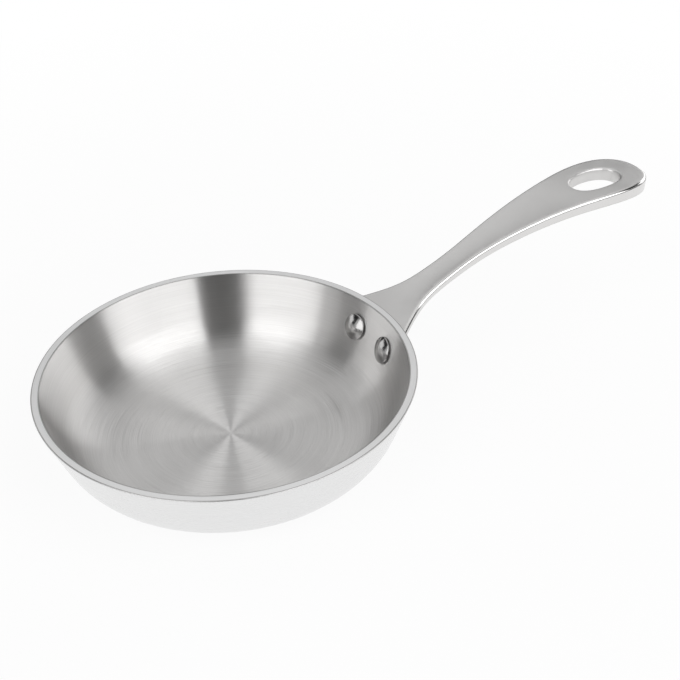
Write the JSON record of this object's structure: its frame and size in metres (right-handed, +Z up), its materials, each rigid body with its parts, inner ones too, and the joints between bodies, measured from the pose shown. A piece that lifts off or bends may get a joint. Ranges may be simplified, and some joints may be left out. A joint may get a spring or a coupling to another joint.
{
  "type": "omelette pan",
  "caption": "Small round clad frying pan with sloping walls, a flat base and a riveted cast handle that rises, bends over and ends in an oval hanging hole.",
  "frame": {"origin": "middle of the flat base, on the surface that the pan stands on", "axes": "+X from the pan's middle along the handle, +Z up, +Y to the left of the handle seen from the pan"},
  "size_m": [0.2277, 0.1208, 0.0464],
  "materials": {
    "cooking_steel": "brushed in circles on the cooking face",
    "core_aluminium": "bare at the cut rim",
    "outer_steel": "bright, finely turned",
    "cast_steel": "satin with polished edges",
    "rivet_steel": "polished"
  },
  "bodies": {
    "root": {"inner_steel_skin": "cooking_steel", "aluminium_core": "core_aluminium", "outer_steel_skin": "outer_steel", "handle": "cast_steel", "rivet_left": "rivet_steel", "rivet_right": "rivet_steel"}
  },
  "joints": []
}
